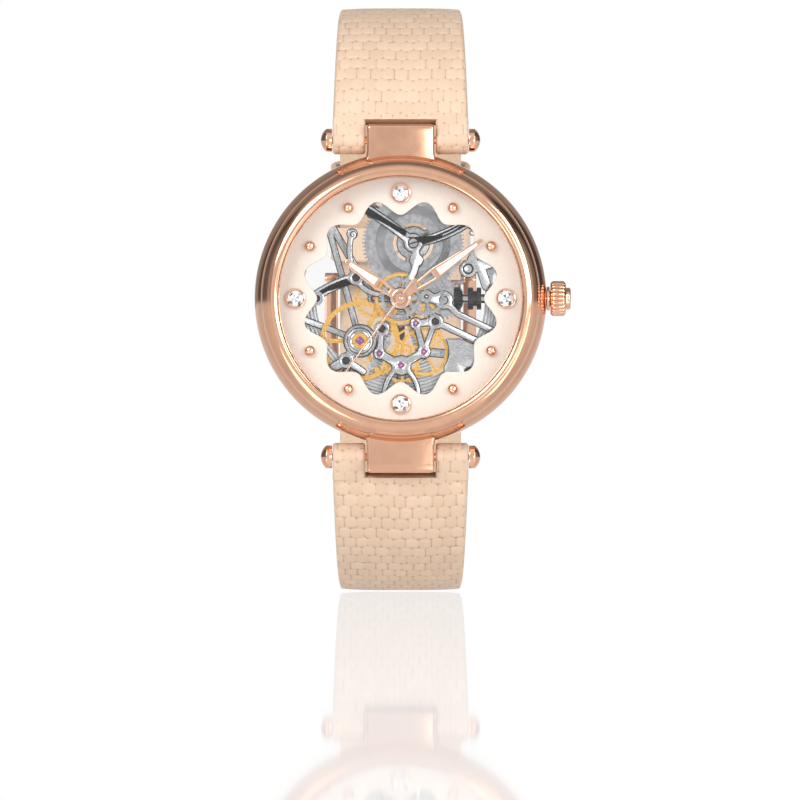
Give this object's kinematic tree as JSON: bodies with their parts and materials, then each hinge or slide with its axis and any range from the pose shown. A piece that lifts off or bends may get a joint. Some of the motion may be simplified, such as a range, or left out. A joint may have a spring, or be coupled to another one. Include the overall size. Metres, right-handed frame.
{
  "type": "skeleton wristwatch",
  "caption": "Round wristwatch with an open-worked dial over a visible going train, crown at the side and a closed leather strap on pinned lugs.",
  "frame": {"origin": "centre of the outer face of the caseback glass", "axes": "+Z towards 12 o'clock, +X towards the crown at 3 o'clock, -Y out of the dial; +Y goes from the caseback towards the wrist"},
  "size_m": [0.0412, 0.0585, 0.0764],
  "materials": {
    "rose_gold": "polished rose gold plating on steel",
    "steel": "brushed and rhodium plated",
    "blued": "dark polished steel",
    "brass": "gilt brass",
    "dial": "cream lacquer with a fine pearl",
    "crystal": "clear flat crystal",
    "stone": "brilliant cut clear stone",
    "ruby": "synthetic ruby",
    "plastic": "grey nylon",
    "leather": "beige lizard-grain leather"
  },
  "bodies": {
    "case": {"case_middle": "rose_gold", "bezel": "rose_gold", "crystal": "crystal", "dial_flange_ring": "rose_gold", "caseback_ring": "rose_gold", "caseback_glass": "crystal", "lug_pins": "rose_gold", "movement_holder_ring": "plastic", "crown_tube": "rose_gold", "dial": "dial", "marker_settings": "rose_gold", "marker_stones": "stone", "dial_beads": "rose_gold", "mainplate": "steel", "barrel_bridge": "steel", "left_bridge": "steel", "train_bridge": "steel", "balance_bridge": "steel", "motion_plate": "steel", "keyless_plates": "steel", "bridge_screws": "steel", "train_jewels": "ruby", "shock_setting": "steel", "pallet_bridge": "steel", "rotor_bearing": "steel", "strap_12": "leather", "strap_6": "leather", "buckle_frame": "rose_gold", "buckle_bar": "steel", "fixed_keeper": "leather"},
    "minute": {"centre_wheel": "brass", "centre_pinion": "steel", "cannon_pinion": "steel", "minute_hand": "rose_gold"},
    "hour": {"hour_wheel": "brass", "hour_hand": "rose_gold"},
    "minute_wheel": {"minute_wheel": "brass"},
    "barrel": {"barrel_drum": "steel", "mainspring": "blued"},
    "third": {"third_wheel": "brass"},
    "seconds": {"seconds_pinion": "steel", "seconds_hand": "rose_gold"},
    "fourth": {"fourth_wheel": "brass"},
    "escape": {"escape_wheel": "brass"},
    "balance": {"balance_wheel": "brass", "balance_staff": "steel", "hairspring": "blued"},
    "pallet": {"pallet_fork": "steel"},
    "stem": {"winding_stem": "steel"},
    "crown": {"crown": "rose_gold"},
    "winding_pinion": {"winding_pinion": "steel"},
    "sliding_pinion": {"sliding_pinion": "steel"},
    "setting_lever": {"setting_lever": "steel"},
    "crown_wheel": {"crown_wheel": "steel"},
    "ratchet": {"ratchet_wheel": "steel", "barrel_arbor": "steel"},
    "rotor": {"rotor": "steel"},
    "reduction": {"reduction_wheel": "brass"},
    "prong": {"buckle_prong": "rose_gold"},
    "keeper": {"floating_keeper": "leather"}
  },
  "joints": [
    {"name": "minute_turn", "type": "hinge", "parent": "case", "child": "minute", "pos_m": [0, -0.006, 0], "axis": [0, 1, 0], "continuous": true},
    {"name": "hour_turn", "type": "hinge", "parent": "case", "child": "hour", "pos_m": [0, -0.0072, 0], "axis": [0, 1, 0], "continuous": true},
    {"name": "minute_wheel_turn", "type": "hinge", "parent": "case", "child": "minute_wheel", "pos_m": [0.00334, -0.0069, 0.00025], "axis": [0, 1, 0], "continuous": true},
    {"name": "barrel_turn", "type": "hinge", "parent": "case", "child": "barrel", "pos_m": [0.00166, -0.005, 0.00724], "axis": [0, 1, 0], "continuous": true},
    {"name": "third_turn", "type": "hinge", "parent": "case", "child": "third", "pos_m": [0.002, -0.005, -0.00324], "axis": [0, 1, 0], "continuous": true},
    {"name": "seconds_turn", "type": "hinge", "parent": "case", "child": "seconds", "pos_m": [0, -0.005, 0], "axis": [0, 1, 0], "continuous": true},
    {"name": "fourth_turn", "type": "hinge", "parent": "case", "child": "fourth", "pos_m": [0.00304, -0.005, -0.00691], "axis": [0, 1, 0], "continuous": true},
    {"name": "escape_turn", "type": "hinge", "parent": "case", "child": "escape", "pos_m": [0.0001, -0.0053, -0.0087], "axis": [0, 1, 0], "continuous": true},
    {"name": "balance_swing", "type": "hinge", "parent": "case", "child": "balance", "pos_m": [-0.00527, -0.004, -0.0055], "axis": [0, 1, 0], "range_deg": [-270, 270]},
    {"name": "pallet_rock", "type": "hinge", "parent": "case", "child": "pallet", "pos_m": [-0.00273, -0.0053, -0.00715], "axis": [0, 1, 0], "range_deg": [-5, 5]},
    {"name": "crown_pull", "type": "slide", "parent": "case", "child": "stem", "axis": [1, 0, 0], "range_m": [0, 0.0011]},
    {"name": "crown_turn", "type": "hinge", "parent": "stem", "child": "crown", "pos_m": [0, -0.0044, 0], "axis": [1, 0, 0], "continuous": true},
    {"name": "winding_pinion_turn", "type": "hinge", "parent": "case", "child": "winding_pinion", "pos_m": [0, -0.0044, 0], "axis": [1, 0, 0], "continuous": true},
    {"name": "sliding_pinion_slide", "type": "slide", "parent": "case", "child": "sliding_pinion", "axis": [1, 0, 0], "range_m": [-0.00055, 0]},
    {"name": "setting_lever_turn", "type": "hinge", "parent": "case", "child": "setting_lever", "pos_m": [0.0115, -0.0053, 0.0036], "axis": [0, -1, 0], "range_deg": [0, 17.55]},
    {"name": "crown_wheel_turn", "type": "hinge", "parent": "case", "child": "crown_wheel", "pos_m": [0.0052, -0.0028, 0], "axis": [0, 1, 0], "continuous": true},
    {"name": "ratchet_turn", "type": "hinge", "parent": "case", "child": "ratchet", "pos_m": [0.00166, -0.0028, 0.00724], "axis": [0, 1, 0], "continuous": true},
    {"name": "rotor_turn", "type": "hinge", "parent": "case", "child": "rotor", "pos_m": [0, -0.002, 0], "axis": [0, 1, 0], "continuous": true},
    {"name": "reduction_turn", "type": "hinge", "parent": "case", "child": "reduction", "pos_m": [-0.0035, -0.0024, 0], "axis": [0, 1, 0], "continuous": true},
    {"name": "prong_lift", "type": "hinge", "parent": "case", "child": "prong", "pos_m": [0, 0.04243, 0.00272], "axis": [1, 0, 0], "range_deg": [0, 7]},
    {"name": "keeper_slide", "type": "slide", "parent": "case", "child": "keeper", "axis": [0, -0.3256, 0.9455], "range_m": [-0.0012, 0.0012]}
  ],
  "couplings": [
    {"joint": "hour_turn", "follows": "minute_turn", "ratio": 0.083333},
    {"joint": "minute_wheel_turn", "follows": "minute_turn", "ratio": -0.33333},
    {"joint": "barrel_turn", "follows": "minute_turn", "ratio": -0.14286},
    {"joint": "third_turn", "follows": "minute_turn", "ratio": -8},
    {"joint": "seconds_turn", "follows": "minute_turn", "ratio": 60},
    {"joint": "fourth_turn", "follows": "minute_turn", "ratio": 60},
    {"joint": "escape_turn", "follows": "minute_turn", "ratio": -720},
    {"joint": "winding_pinion_turn", "follows": "crown_turn", "ratio": 1},
    {"joint": "crown_wheel_turn", "follows": "crown_turn", "ratio": -0.6},
    {"joint": "ratchet_turn", "follows": "crown_turn", "ratio": 0.3},
    {"joint": "sliding_pinion_slide", "follows": "crown_pull", "ratio": -0.5},
    {"joint": "setting_lever_turn", "follows": "crown_pull", "rad_per_m": 277.67},
    {"joint": "reduction_turn", "follows": "rotor_turn", "ratio": -0.4}
  ]
}
